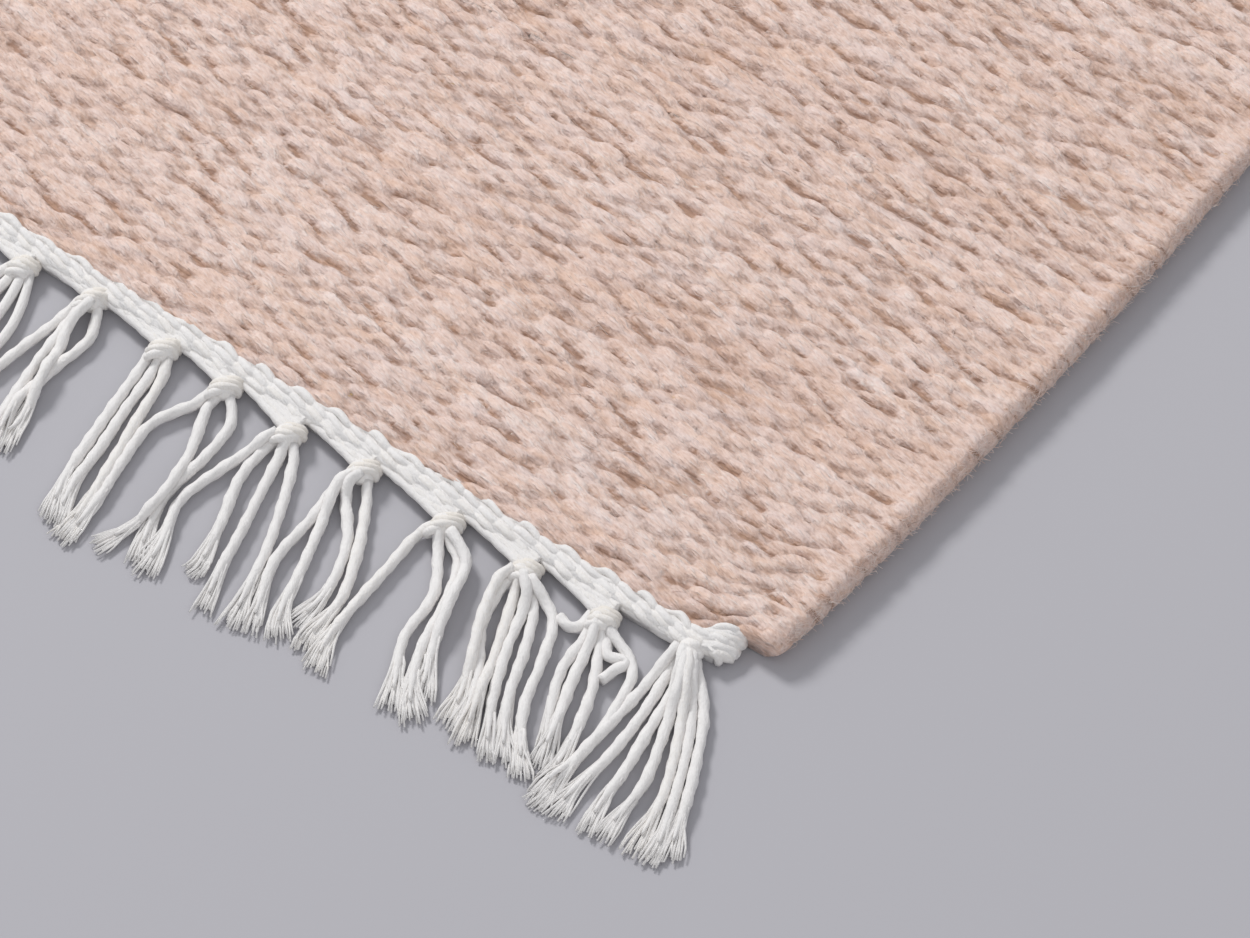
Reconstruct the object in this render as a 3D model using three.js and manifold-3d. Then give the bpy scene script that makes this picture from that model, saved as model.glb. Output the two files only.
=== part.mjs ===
// A small flat-woven wool dhurrie: one weft-faced wool field with rounded selvedges, a white
// cotton heading at each end, and the warp ends knotted in groups into a cotton fringe.
// Millimetres. X runs along the weft, Y along the warp, Z up. The rug lies on z = 0.
import * as THREE from 'three';
import { mergeVertices } from 'three/addons/utils/BufferGeometryUtils.js';
import Module from 'manifold-3d';

// Driving dimensions
const RUG_WIDTH = 600;
const WOOL_LENGTH = 882;
const WOOL_THICKNESS = 6;
const SELVEDGE_THICKNESS = 7;
const HEADING = { width: 4.7, thickness: 4 };
const FRINGE_REACH = 56;
const STRAND = { width: 2.6, height: 2.3 };
const GAP = 0.3;
const HALF_WIDTH = RUG_WIDTH / 2;
const HALF_WOOL = WOOL_LENGTH / 2;

// The selvedge is drawn in towards each end, and the wool stops short at the very corner
const DRAW_IN = { depth: 4, fade: 24, reach: 40 };
const CORNER_LIFT = { depth: 6, fadeAcross: 7, fadeAlong: 30 };
const SELVEDGE_WANDER = { depth: 0.7, length: 190, fade: 60, sideShift: 40 };
const EDGE_RISE = { depth: 5, fade: 13 };

// Insets of the mesh's lines: on the selvedge's bead, beside it, along the wool and the heading
const BEAD_INSETS = [0.25, 1, 2.2];
const EDGE_INSETS = [3.5, 5.5, 8.5, 14, 30];
const MIDDLE_INSET = 120;
const WOOL_END_INSETS = [0, 0.6, 6, 14, 30, 60, 130, 260];
const HEADING_INSETS = [...EDGE_INSETS, 50, 80, 120, 160, 200, 240, 280];
const END_ROUND = 1.2;

// A strip's section: how high its shoulders are, and how far in its flat top starts
const STRIP = { shoulder: 0.65, slope: 0.3 };
const HEADING_TIP = { height: 0.8, narrowed: 0.2 };

// The gathered warps under the heading, and the overhand knots that they run into
const GATHER = { thin: 1.5, thick: 3.4, height: 3.2, thinFrom: 3.7 };
const KNOT = { across: 6.2, along: 5.6, height: 5.2, out: 8.5 };
const CORNER_KNOT_OUT = 7;
const KNOT_FACES = { sides: 6, bands: 3 };
const ROOT_SPREAD = 4.4;

// Knots counted from the right selvedge: how far in each one sits, its strands, how far its tips
// lie towards that selvedge, how wide they spread, and how far its outer strands belly out
const CORNER_GROUPS = [
  { inward: 19.6, strands: 7, lean: 13.5, spread: 27, belly: 1 },
  { inward: 38.3, strands: 5, lean: 9, spread: 12, belly: 4 },
  { inward: 58.7, strands: 6, lean: 12, spread: 16, belly: 3 },
  { inward: 79.5, strands: 4, lean: 10, spread: 16, belly: 4 },
  { inward: 102.2, strands: 4, lean: 11, spread: 12, belly: 5 },
  { inward: 120.9, strands: 4, lean: 10, spread: 16, belly: 3 },
  { inward: 139.8, strands: 4, lean: 7, spread: 14, belly: 6 },
  { inward: 157.1, strands: 4, lean: 8, spread: 9.5, belly: 1 },
  { inward: 178.3, strands: 4, lean: 5, spread: 12, belly: 2 },
  { inward: 196.5, strands: 4, lean: 4, spread: 11, belly: 4 },
];
const LAST_GROUP = { inward: 583, strands: 6, lean: 6, spread: 17, belly: 1 };
const PLAIN_GROUPS = 19;
const PLAIN = { strands: 4, lean: 6, spread: 11, belly: 3.5 };
const VARIES = { inward: 2, lean: 3, leanTurn: 0.9, spread: 2 };

// Where a strand's sections lie, from its knot to its tip, and its width at each
const STRAND_STEPS = [
  { along: 0, width: 0.5 },
  { along: 0.27, width: 0.82 },
  { along: 0.6, width: 1 },
  { along: 1, width: 0.75 },
];
const BELLY_SHARE = 0.71;
const LEAN_CURVE = 0.9;
const RAGGEDNESS = 0.11;

const { lerp, smoothstep } = THREE.MathUtils;
const wasm = await Module();
wasm.setup();

// Places along a span, from insets that are counted inwards from both of its ends
const mirrored = (steps, half) => [
  ...steps.map((inset) => inset - half),
  ...steps.toReversed().map((inset) => half - inset),
];

// A repeatable value from 0 to 1 for each whole number
function chance(number) {
  const wave = Math.sin(number * 12.9898 + 4.1) * 43758.5453;
  return wave - Math.floor(wave);
}

// A closed solid from two sheets of points, given as rows of { x, y, low, high }
function slab(rows) {
  const across = rows[0].length;
  const flat = rows.flat();
  const count = flat.length;
  const positions = [
    ...flat.flatMap((p) => [p.x, p.y, p.high]),
    ...flat.flatMap((p) => [p.x, p.y, p.low]),
  ];
  const index = [];
  const quad = (a, b, c, d) => index.push(a, b, c, a, c, d);
  for (let row = 0; row + 1 < rows.length; row += 1) {
    for (let column = 0; column + 1 < across; column += 1) {
      const corner = row * across + column;
      quad(corner, corner + 1, corner + across + 1, corner + across);
      quad(
        count + corner + across,
        count + corner + across + 1,
        count + corner + 1,
        count + corner,
      );
    }
  }
  for (let column = 0; column + 1 < across; column += 1) {
    const far = count - across + column;
    quad(count + column, count + column + 1, column + 1, column);
    quad(far, far + 1, count + far + 1, count + far);
  }
  for (let row = 0; row + 1 < rows.length; row += 1) {
    const left = row * across;
    const right = left + across - 1;
    quad(left, left + across, count + left + across, count + left);
    quad(count + right, count + right + across, right + across, right);
  }
  const geometry = new THREE.BufferGeometry();
  geometry.setAttribute('position', new THREE.Float32BufferAttribute(positions, 3));
  geometry.setIndex(index);
  return geometry;
}

// Half the height of a round edge, at this distance in from it
function roundEdge(inset, radius) {
  const short = radius - Math.min(inset, radius);
  return Math.sqrt(radius ** 2 - short ** 2);
}

// How far the selvedge sits inside the plain rectangle, at this distance from the end
function drawIn(fromEnd, side) {
  const { depth, length, fade, sideShift } = SELVEDGE_WANDER;
  const wander = 1 + Math.sin((fromEnd + side * sideShift) / length * Math.PI * 2);
  const drawn = DRAW_IN.depth * Math.exp(-fromEnd / DRAW_IN.fade);
  return drawn + depth * wander * (1 - Math.exp(-fromEnd / fade));
}

// Where a point of the plain rectangle lies once the sides and corners are drawn in
function woven(x, y) {
  const inset = HALF_WIDTH - Math.abs(x);
  const fromEnd = HALF_WOOL - Math.abs(y);
  const share = smoothstep(DRAW_IN.reach - inset, 0, DRAW_IN.reach);
  const { depth, fadeAcross, fadeAlong } = CORNER_LIFT;
  const lift = depth * Math.exp(-inset / fadeAcross - fromEnd / fadeAlong);
  return {
    x: x - Math.sign(x) * drawIn(fromEnd, Math.sign(x)) * share,
    y: y - Math.sign(y) * lift,
  };
}

function woolField() {
  const bead = SELVEDGE_THICKNESS / 2;
  const fieldFrom = EDGE_INSETS[2];
  const columns = mirrored([...BEAD_INSETS, ...EDGE_INSETS, MIDDLE_INSET], HALF_WIDTH);
  const rows = mirrored(WOOL_END_INSETS, HALF_WOOL);
  return slab(rows.map((y) => columns.map((x) => {
    const inset = HALF_WIDTH - Math.abs(x);
    const beadShare = smoothstep(fieldFrom - inset, 0, fieldFrom - bead);
    const crown = lerp(WOOL_THICKNESS, SELVEDGE_THICKNESS, beadShare);
    const side = roundEdge(inset, bead);
    const endDrop = END_ROUND - roundEdge(HALF_WOOL - Math.abs(y), END_ROUND);
    return {
      ...woven(x, y),
      low: inset < bead ? bead - side : 0,
      high: (inset < bead ? bead + side : crown) - endDrop,
    };
  })));
}

// The heading's outer edge, which rises a little towards the selvedges
function headingEdge(x) {
  const inset = HALF_WIDTH - Math.abs(x);
  return -HALF_WOOL - HEADING.width + EDGE_RISE.depth * Math.exp(-inset / EDGE_RISE.fade);
}

// A closed solid through a row of like rings of points, each turning clockwise seen along the row
function loft(rings) {
  const sides = rings[0].length;
  const index = [];
  for (let side = 1; side + 1 < sides; side += 1) {
    const far = (rings.length - 1) * sides;
    index.push(0, side, side + 1, far, far + side + 1, far + side);
  }
  for (let ring = 0; ring + 1 < rings.length; ring += 1) {
    for (let side = 0; side < sides; side += 1) {
      const a = ring * sides + side;
      const b = ring * sides + (side + 1) % sides;
      index.push(a, a + sides, b, b, a + sides, b + sides);
    }
  }
  const geometry = new THREE.BufferGeometry();
  geometry.setAttribute('position', new THREE.Float32BufferAttribute(rings.flat(2), 3));
  geometry.setIndex(index);
  return geometry;
}

// A flat-bottomed strip along the end, from stations of { x, inner, outer, high }
function strip(stations) {
  return loft(stations.map(({ x, inner, outer, high }) => [
    [x, outer, 0],
    [x, outer, high * STRIP.shoulder],
    [x, lerp(outer, inner, STRIP.slope), high],
    [x, lerp(inner, outer, STRIP.slope), high],
    [x, inner, high * STRIP.shoulder],
    [x, inner, 0],
  ]));
}

function heading() {
  const plainPlaces = mirrored(HEADING_INSETS, HALF_WIDTH);
  return strip(plainPlaces.map((plain, i) => {
    const { x, y } = woven(plain, -HALF_WOOL);
    const atTip = i === 0 || i + 1 === plainPlaces.length;
    return {
      x,
      inner: y - GAP,
      outer: headingEdge(x) + (atTip ? HEADING.width * HEADING_TIP.narrowed : 0),
      high: HEADING.thickness * (atTip ? HEADING_TIP.height : 1),
    };
  }));
}

// Every knot group of the near end, from the right selvedge to the left one
function knotGroups() {
  const start = CORNER_GROUPS.at(-1).inward;
  const pitch = (LAST_GROUP.inward - start) / (PLAIN_GROUPS + 1);
  const plain = Array.from({ length: PLAIN_GROUPS }, (_, i) => ({
    strands: PLAIN.strands,
    inward: start + pitch * (i + 1) + VARIES.inward * (chance(i) - 0.5),
    lean: PLAIN.lean + VARIES.lean * Math.sin(i * VARIES.leanTurn),
    spread: PLAIN.spread + VARIES.spread * chance(i + 100),
    belly: PLAIN.belly * chance(i + 150),
  }));
  return [...CORNER_GROUPS, ...plain, LAST_GROUP].map((group, number) => ({
    ...group,
    number,
    x: HALF_WIDTH - group.inward,
    y: -HALF_WOOL - (number === 0 ? CORNER_KNOT_OUT : KNOT.out),
  }));
}

// The warps that run along under the heading, thickest as they enter each knot from its left
function gatheredWarps(groups) {
  const station = (x, thick) => ({
    x,
    inner: headingEdge(x) - GAP,
    outer: headingEdge(x) - GAP - thick,
    high: GATHER.height,
  });
  const leftmost = -HALF_WIDTH + DRAW_IN.depth + EDGE_INSETS[1];
  return strip([
    station(leftmost, GATHER.thin),
    ...groups.toReversed().flatMap(({ x }, i) => [
      station(x, GATHER.thick),
      ...(i + 1 < groups.length ? [station(x + GATHER.thinFrom, GATHER.thin)] : []),
    ]),
    station(-leftmost, GATHER.thin),
  ]);
}

function knot({ x, y }) {
  const geometry = new THREE.SphereGeometry(0.5, KNOT_FACES.sides, KNOT_FACES.bands);
  geometry.rotateX(Math.PI / 2);
  geometry.scale(KNOT.across, KNOT.along, KNOT.height);
  return geometry.translate(x, y, KNOT.height / 2);
}

// One warp end on the floor: a three-sided strand, flat below, from its knot to its tip
function strand(group, place) {
  const out = FRINGE_REACH * (1 - RAGGEDNESS * chance(group.number * 9 + place * 50));
  const tip = { x: group.x + group.lean + place * group.spread, y: -HALF_WOOL - out };
  const root = { x: group.x + place * ROOT_SPREAD, y: group.y };
  return loft(STRAND_STEPS.map(({ along, width }) => {
    const aside = group.belly * 2 * place * Math.sin(Math.PI * Math.min(along / BELLY_SHARE, 1));
    const x = lerp(root.x, tip.x, along ** LEAN_CURVE) + aside;
    const y = lerp(root.y, tip.y, along);
    const half = STRAND.width / 2 * width;
    return [[x + half, y, 0], [x - half, y, 0], [x, y, STRAND.height * width]];
  }));
}

function solidOf(geometry) {
  geometry.deleteAttribute('normal');
  geometry.deleteAttribute('uv');
  const merged = mergeVertices(geometry);
  return new wasm.Manifold(new wasm.Mesh({
    numProp: 3,
    vertProperties: merged.attributes.position.array,
    triVerts: Uint32Array.from(merged.index.array),
  }));
}

function geometryOf(solid) {
  const { vertProperties, triVerts } = solid.getMesh();
  const geometry = new THREE.BufferGeometry();
  geometry.setAttribute('position', new THREE.BufferAttribute(vertProperties, 3));
  geometry.setIndex(new THREE.BufferAttribute(triVerts, 1));
  return geometry;
}

function fringe() {
  const groups = knotGroups();
  const strands = groups.flatMap((group) => Array.from(
    { length: group.strands },
    (_, i) => strand(group, i / (group.strands - 1) - 0.5),
  ));
  const pieces = [gatheredWarps(groups), ...groups.map(knot), ...strands];
  const whole = pieces.map(solidOf).reduce((sum, piece) => sum.add(piece));
  return geometryOf(whole);
}

const woolMaterial = () => new THREE.MeshStandardMaterial({
  color: 0xd3b8a6, roughness: 0.95, metalness: 0,
});
const cottonMaterial = () => new THREE.MeshStandardMaterial({
  color: 0xf0eeec, roughness: 0.9, metalness: 0,
});

function piece(name, geometry, material, turn = 0) {
  const mesh = new THREE.Mesh(geometry, material);
  mesh.name = name;
  mesh.rotation.z = turn;
  return mesh;
}

const rug = new THREE.Group();
rug.add(
  piece('wool_field', woolField(), woolMaterial()),
  piece('heading_near', heading(), cottonMaterial()),
  piece('heading_far', heading(), cottonMaterial(), Math.PI),
  piece('fringe_near', fringe(), cottonMaterial()),
  piece('fringe_far', fringe(), cottonMaterial(), Math.PI),
);

export default rug;
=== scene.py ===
"""A small flat-woven wool dhurrie on a pale floor: its weave, cotton headings, knots and fringe."""
import math

import bpy
import numpy as np
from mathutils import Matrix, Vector


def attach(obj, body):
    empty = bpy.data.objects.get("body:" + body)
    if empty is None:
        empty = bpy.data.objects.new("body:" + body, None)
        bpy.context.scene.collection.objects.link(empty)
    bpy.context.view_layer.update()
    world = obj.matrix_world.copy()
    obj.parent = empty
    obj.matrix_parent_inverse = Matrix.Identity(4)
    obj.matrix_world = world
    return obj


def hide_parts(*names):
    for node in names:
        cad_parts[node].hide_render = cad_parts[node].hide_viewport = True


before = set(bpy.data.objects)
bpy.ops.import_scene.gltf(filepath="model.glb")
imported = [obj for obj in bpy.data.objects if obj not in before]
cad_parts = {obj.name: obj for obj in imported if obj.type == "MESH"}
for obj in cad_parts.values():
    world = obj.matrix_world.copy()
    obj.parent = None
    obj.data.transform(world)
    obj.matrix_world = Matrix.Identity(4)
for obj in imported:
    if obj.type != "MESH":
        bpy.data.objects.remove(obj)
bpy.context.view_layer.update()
bpy.ops.object.select_all(action="DESELECT")

MM = 0.001
BODY = "root"
RNG = np.random.default_rng(20)

# Sizes of the rug, as in the solids
RUG_WIDTH = 600 * MM
WOOL_LENGTH = 882 * MM
WOOL_THICKNESS = 6 * MM
SELVEDGE_THICKNESS = 7 * MM
HEADING_WIDTH = 4.7 * MM
FRINGE_REACH = 56 * MM
GAP = 0.3 * MM
HALF_WIDTH = RUG_WIDTH / 2
HALF_WOOL = WOOL_LENGTH / 2
BEAD = SELVEDGE_THICKNESS / 2
FIELD_FROM = 8.5 * MM

# The selvedge is drawn in towards each end, and the wool stops short at the very corner
DRAW_IN = {"depth": 4 * MM, "fade": 24 * MM, "reach": 40 * MM}
CORNER_LIFT = {"depth": 5 * MM, "from": 9 * MM, "to": 21 * MM, "along": 30 * MM}
WANDER = {"depth": 0.7 * MM, "length": 190 * MM, "fade": 60 * MM, "side_shift": 40 * MM}
EDGE_RISE = {"depth": 5 * MM, "fade": 13 * MM}

# The weave: warps across the rug, weft rows along it
WARPS = 118
ROWS = 428
WARP_PITCH = RUG_WIDTH / WARPS
ROW_PITCH = WOOL_LENGTH / ROWS


def smoothstep(value, low, high):
    share = np.clip((value - low) / (high - low), 0, 1)
    return share * share * (3 - 2 * share)


def mix(a, b, share):
    return a + (b - a) * share


def chance(number):
    """The repeatable value from 0 to 1 by which the solids vary their knot groups."""
    wave = math.sin(number * 12.9898 + 4.1) * 43758.5453
    return wave - math.floor(wave)


def drift(across, along, cell_across, cell_along, layers=2):
    """Soft random waves from -1 to 1 over a surface, with cells of the given size."""
    total = np.zeros(np.broadcast(across, along).shape)
    for layer in range(layers):
        scale = 2.0 ** layer
        table = RNG.uniform(-1, 1, (97, 101))
        a = across / cell_across * scale
        b = along / cell_along * scale
        a0 = np.floor(a).astype(int)
        b0 = np.floor(b).astype(int)
        ta = smoothstep(a - a0, 0, 1)
        tb = smoothstep(b - b0, 0, 1)
        low = mix(table[a0 % 97, b0 % 101], table[(a0 + 1) % 97, b0 % 101], ta)
        high = mix(table[a0 % 97, (b0 + 1) % 101], table[(a0 + 1) % 97, (b0 + 1) % 101], ta)
        total += mix(low, high, tb) / scale
    return total / sum(0.5 ** layer for layer in range(layers))


def woven(x, y):
    """Where a point of the plain rectangle lies once the sides and corners are drawn in."""
    side = np.sign(x)
    inset = HALF_WIDTH - np.abs(x)
    from_end = HALF_WOOL - np.abs(y)
    turn = (from_end + side * WANDER["side_shift"]) / WANDER["length"] * 2 * math.pi
    drawn = DRAW_IN["depth"] * np.exp(-from_end / DRAW_IN["fade"])
    wandered = WANDER["depth"] * (1 + np.sin(turn)) * (1 - np.exp(-from_end / WANDER["fade"]))
    share = smoothstep(DRAW_IN["reach"] - inset, 0, DRAW_IN["reach"])
    corner = smoothstep(-inset, -CORNER_LIFT["to"], -CORNER_LIFT["from"])
    lift = CORNER_LIFT["depth"] * corner * np.exp(-from_end / CORNER_LIFT["along"])
    return x - side * (drawn + wandered) * share, y - np.sign(y) * lift


def heading_edge(x):
    """The heading's outer edge at the near end, which rises a little towards the selvedges."""
    inset = HALF_WIDTH - np.abs(x)
    return -HALF_WOOL - HEADING_WIDTH + EDGE_RISE["depth"] * np.exp(-inset / EDGE_RISE["fade"])


# The photograph's camera, as fitted to the weave, and the photograph's size in pixels

AIM = (242.64 * MM, -417.39 * MM, 6 * MM)
CAMERA_DISTANCE = 1098.7 * MM
CAMERA_HEIGHT_ANGLE = math.radians(50.64)
CAMERA_HEADING = math.radians(-37.12)
LENS = 151.86
SENSOR = 36
PHOTO = (1250, 938)


def camera_look():
    """The direction in which the camera looks."""
    return Vector((
        math.sin(CAMERA_HEADING) * math.cos(CAMERA_HEIGHT_ANGLE),
        math.cos(CAMERA_HEADING) * math.cos(CAMERA_HEIGHT_ANGLE),
        -math.sin(CAMERA_HEIGHT_ANGLE),
    ))


def on_photo(pixel, z):
    """The point at height z that the photograph shows at a pixel."""
    look = camera_look()
    side = look.cross(Vector((0, 0, 1))).normalized()
    across = side * (pixel[0] - PHOTO[0] / 2) - side.cross(look) * (pixel[1] - PHOTO[1] / 2)
    ray = look + across * SENSOR / (LENS * PHOTO[0])
    place = Vector(AIM) - look * CAMERA_DISTANCE
    return place + ray * ((z - place.z) / ray.z)


# Meshes

def mesh_piece(name, points, faces, attributes):
    """A new smooth object from points and triangles or quads, with float attributes on its points."""
    mesh = bpy.data.meshes.new(name)
    sizes = np.array([len(face) for face in faces]) if isinstance(faces, list) else None
    if sizes is None:
        sizes = np.full(len(faces), faces.shape[1])
        corners = faces.reshape(-1)
    else:
        corners = np.concatenate([np.asarray(face) for face in faces])
    mesh.vertices.add(len(points))
    mesh.vertices.foreach_set("co", np.asarray(points, np.float32).reshape(-1))
    mesh.loops.add(len(corners))
    mesh.loops.foreach_set("vertex_index", corners.astype(np.int32))
    mesh.polygons.add(len(sizes))
    starts = np.concatenate([[0], np.cumsum(sizes)[:-1]])
    mesh.polygons.foreach_set("loop_start", starts.astype(np.int32))
    mesh.polygons.foreach_set("use_smooth", np.full(len(sizes), True))
    for key, values in attributes.items():
        layer = mesh.attributes.new(key, "FLOAT", "POINT")
        layer.data.foreach_set("value", np.asarray(values, np.float32).reshape(-1))
    mesh.update(calc_edges=True)
    mesh.validate()
    piece = bpy.data.objects.new(name, mesh)
    bpy.context.scene.collection.objects.link(piece)
    return piece


class Bundle:
    """Many small closed meshes, gathered to be joined into one piece."""

    def __init__(self):
        self.points = []
        self.faces = []
        self.tones = []
        self.count = 0

    def add(self, points, faces, tone):
        self.points.append(points)
        self.faces.append(faces + self.count)
        self.tones.append(np.full(len(points), tone) if np.isscalar(tone) else tone)
        self.count += len(points)

    def piece(self, name, turned=False):
        points = np.concatenate(self.points)
        if turned:
            points = points * np.array([-1, -1, 1])
        tones = {"tone": np.concatenate(self.tones)}
        return mesh_piece(name, points, np.concatenate(self.faces), tones)


def zip_side(top, bottom, top_at, bottom_at):
    """Triangles between two rows of points of unlike counts, matched by their place along the side."""
    faces = []
    i = j = 0
    while i + 1 < len(top) or j + 1 < len(bottom):
        top_next = top_at[i + 1] if i + 1 < len(top) else math.inf
        bottom_next = bottom_at[j + 1] if j + 1 < len(bottom) else math.inf
        if bottom_next <= top_next:
            faces.append((bottom[j], bottom[j + 1], top[i]))
            j += 1
        else:
            faces.append((bottom[j], top[i + 1], top[i]))
            i += 1
    return faces


def closed_cloth(name, top, bottom):
    """One closed piece from a fine upper grid and a coarser lower one, zipped together all round.

    Each grid is a dict with x, y, z and tone arrays of rows by columns, and with the places of its
    columns and rows, by which the sides are matched.
    """
    rows, columns = top["x"].shape
    low_rows, low_columns = bottom["x"].shape
    ids = np.arange(rows * columns).reshape(rows, columns)
    low = np.arange(low_rows * low_columns).reshape(low_rows, low_columns) + rows * columns

    def quads(grid):
        return np.stack([grid[:-1, :-1], grid[:-1, 1:], grid[1:, 1:], grid[1:, :-1]], -1).reshape(-1, 4)

    upper = quads(ids)
    under = quads(low)[:, ::-1]
    walls = zip_side(ids[0], low[0], top["columns"], bottom["columns"])
    walls += zip_side(ids[:, -1], low[:, -1], top["rows"], bottom["rows"])
    walls += zip_side(ids[-1, ::-1], low[-1, ::-1], -top["columns"][::-1], -bottom["columns"][::-1])
    walls += zip_side(ids[::-1, 0], low[::-1, 0], -top["rows"][::-1], -bottom["rows"][::-1])
    points = np.concatenate([
        np.stack([grid[axis].reshape(-1) for axis in "xyz"], -1) for grid in (top, bottom)
    ])
    attributes = {
        key: np.concatenate([grid[key].reshape(-1) for grid in (top, bottom)])
        for key in ("tone", "crease")
    }
    return mesh_piece(name, points, [*upper, *under, *walls], attributes)


# The weave

WOOL = {
    "rise": 0.68 * MM,
    "round": 0.95 * MM,
    "dive": 0.75,
    "narrow": 0.58,
    "wide": 0.86,
    "sunk": 0.95,
    "skew": 0.24,
    "skew_varies": 0.2,
    "lift": 0.3 * MM,
    "shift": 0.34,
    "swell": 0.2,
}
# How much lighter or darker a knob is: by streaks and by bands, each some warps by rows large, and alone
YARN_TONE = {"middle": 0.5, "streak": 0.11, "band": 0.06, "knob": 0.03}
STREAK_CELL = (13, 2.2)
BAND_CELL = (36, 9)

# The random values of the knobs, for a few warps and rows more than the rug has
MARGIN = 6
KNOB_LINES = ROWS + 2 * MARGIN
KNOBS = WARPS + 2 * MARGIN
KNOB_CHANCE = RNG.normal(0, 1, (4, KNOB_LINES, KNOBS)).clip(-2, 2)
KNOB_GRID = (np.arange(KNOBS)[None, :], np.arange(KNOB_LINES)[:, None] + 0.0)
STREAKS = drift(*KNOB_GRID, *STREAK_CELL, layers=3)
BANDS = drift(*KNOB_GRID, *BAND_CELL, layers=2)

# The relief fades round the selvedge, and settles at this share of its rise there
BEAD_RELIEF = {"least": 0.2, "settled": 0.35, "from": 0.3 * BEAD, "to": 2.6 * BEAD}

# At each end the last row lies lower, and the gaps between its knobs are tucked in
WOOL_END = {"fall": 1.4 * MM, "fall_rows": 0.8, "tuck": 0.5 * MM, "tuck_rows": 0.7}
UNDER_RELIEF = 0.7


def weave(cloth, warp, row, under=False):
    """Height of the topmost weft over the cloth's middle, from -1 rise up to 1 rise, and its tone.

    A weft row arches over every second warp. Rows are packed so close that each arch spreads over
    the row beside it, and the arches of neighbouring rows lie like bricks.
    """
    best = np.full(warp.shape, -cloth["rise"] - cloth["round"])
    tone = np.zeros(warp.shape)
    nearest = np.floor(row).astype(int)
    for step in (-2, -1, 0, 1, 2):
        yarn = nearest + step
        phase = warp - 0.5 - yarn - (1 if under else 0)
        crest = 2 * np.round(phase / 2)
        along = phase - crest
        knob = (crest + yarn + (1 if under else 0)).astype(int) + MARGIN
        knob = np.clip(knob, 0, KNOBS - 1)
        line = np.clip(yarn + MARGIN, 0, KNOB_LINES - 1)
        lift, shift, swell, shade = (KNOB_CHANCE[k, line, knob] for k in range(4))
        arch = np.sin(math.pi / 2 * np.cos(math.pi * along * cloth["dive"]))
        half = mix(cloth["narrow"], cloth["wide"], 0.5 + 0.5 * arch) * (1 + cloth["swell"] * swell)
        skew = cloth["skew"] + cloth["skew_varies"] * shade
        aside = row - (yarn + 0.5) - cloth["shift"] * shift + skew * along
        curve = np.sqrt(np.clip(1 - (aside / half) ** 2, 0, 1))
        height = cloth["rise"] * arch + cloth["lift"] * lift - cloth["round"] * (1 - curve)
        height = np.where(np.abs(aside) < half, height, -cloth["rise"] - cloth["round"])
        wins = height > best
        best = np.where(wins, height, best)
        heather = YARN_TONE["streak"] * STREAKS[line, knob] + YARN_TONE["band"] * BANDS[line, knob]
        tone = np.where(wins, YARN_TONE["middle"] + heather + YARN_TONE["knob"] * shade, tone)
    return np.maximum(best, -cloth["rise"] * cloth["sunk"]), tone


def crease_depth(relief):
    """How deep a point lies between the knobs, from 0 on their tops to 1; the wool's colour darkens by
    it as painted shade.
    """
    return np.clip((WOOL["rise"] - relief) / (1.6 * WOOL["rise"]), 0, 1)


def crown_height(inset):
    """The top of the wool at this distance from the selvedge, which is thicker than the field."""
    share = smoothstep(FIELD_FROM - inset, 0, FIELD_FROM - BEAD)
    return mix(WOOL_THICKNESS, SELVEDGE_THICKNESS, share)


def top_columns(first, last, per_warp, bead_steps):
    """Stations across the upper face, and round the bead where the stretch reaches a selvedge."""
    places = np.arange(first * per_warp, last * per_warp + 1) / per_warp
    stations = []
    bead_from = BEAD / WARP_PITCH
    for place in places:
        inset = min(place, WARPS - place) * WARP_PITCH
        if inset > BEAD * 1.05:
            x = place * WARP_PITCH - HALF_WIDTH
            stations.append((place, x, crown_height(inset) - WOOL["rise"], 0, 1, 0))
    radius = BEAD - WOOL["rise"]
    for side, at_edge in ((-1, first == 0), (1, last == WARPS)):
        if not at_edge:
            continue
        turns = np.linspace(math.pi / 2, -math.pi / 2, bead_steps + 1)
        bead = []
        for turn in turns:
            share = (math.pi / 2 - turn) / math.pi
            out = math.cos(turn)
            place = bead_from - share * math.pi * BEAD / WARP_PITCH
            x = side * (HALF_WIDTH - BEAD + radius * out)
            bead.append((
                place if side < 0 else WARPS - place,
                x, BEAD + radius * math.sin(turn), side * out, math.sin(turn), share,
            ))
        stations = bead[::-1] + stations if side < 0 else stations + bead
    return np.array(stations).T


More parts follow.
